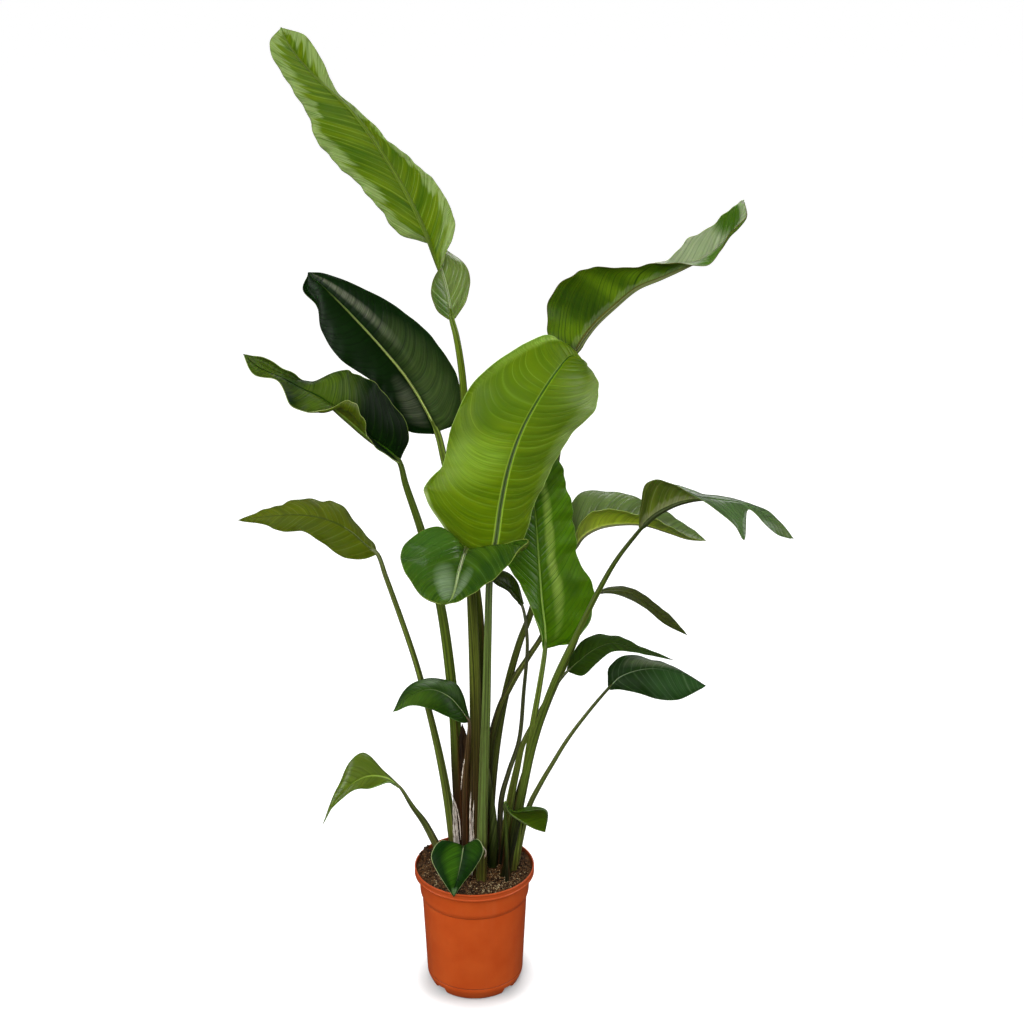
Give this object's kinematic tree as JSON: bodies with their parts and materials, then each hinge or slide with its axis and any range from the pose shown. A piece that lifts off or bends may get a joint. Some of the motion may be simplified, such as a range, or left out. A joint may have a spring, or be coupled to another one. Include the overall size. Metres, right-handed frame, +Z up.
{
  "type": "potted bird of paradise",
  "caption": "Tall potted foliage plant: long-stalked paddle leaves fan out from a clump rooted in dark soil in a round, tapering terracotta-coloured nursery pot.",
  "frame": {"origin": "centre of the pot's underside, at floor level, on the moulded centre pad", "axes": "+Z up along the pot's axis; the plant's show side faces -Y, with +X to the right of someone looking at it"},
  "size_m": [0.9084, 0.4164, 1.6402],
  "materials": {
    "pot_plastic": "smooth satin moulded plastic, terracotta orange",
    "soil_peat": "crumbly dark peat with pale bark and grit",
    "leaf_blade": "leathery leaf, glossy green above and paler below",
    "leaf_stalk": "smooth satin olive-green stalk",
    "shoot_green": "smooth pale green rolled leaf",
    "dry_sheath": "dry papery tan sheath"
  },
  "bodies": {
    "root": {"pot": "pot_plastic", "soil": "soil_peat", "stalk_tall_left": "leaf_stalk", "blade_tall_left": "leaf_blade", "stalk_dark_left": "leaf_stalk", "blade_dark_left": "leaf_blade", "stalk_lower_left": "leaf_stalk", "blade_lower_left": "leaf_blade", "stalk_front_large": "leaf_stalk", "blade_front_large": "leaf_blade", "stalk_behind_right": "leaf_stalk", "blade_behind_right": "leaf_blade", "stalk_cup": "leaf_stalk", "blade_cup": "leaf_blade", "stalk_mid_left": "leaf_stalk", "blade_mid_left": "leaf_blade", "stalk_small_left": "leaf_stalk", "blade_small_left": "leaf_blade", "stalk_low_left": "leaf_stalk", "blade_low_left": "leaf_blade", "stalk_heart": "leaf_stalk", "blade_heart": "leaf_blade", "stalk_tiny_right": "leaf_stalk", "blade_tiny_right": "leaf_blade", "stalk_right_low": "leaf_stalk", "blade_right_low": "leaf_blade", "stalk_right_fold": "leaf_stalk", "blade_right_fold": "leaf_blade", "stalk_droop": "leaf_stalk", "blade_droop": "leaf_blade", "stalk_right_torn": "leaf_stalk", "blade_right_torn": "leaf_blade", "stalk_right_back": "leaf_stalk", "blade_right_back": "leaf_blade", "stalk_upper_right": "leaf_stalk", "blade_upper_right": "leaf_blade", "stalk_dark_back": "leaf_stalk", "blade_dark_back": "leaf_blade", "new_shoot": "shoot_green", "dry_sheath_left": "dry_sheath", "dry_sheath_middle": "dry_sheath", "dry_sheath_right": "dry_sheath"}
  },
  "joints": []
}
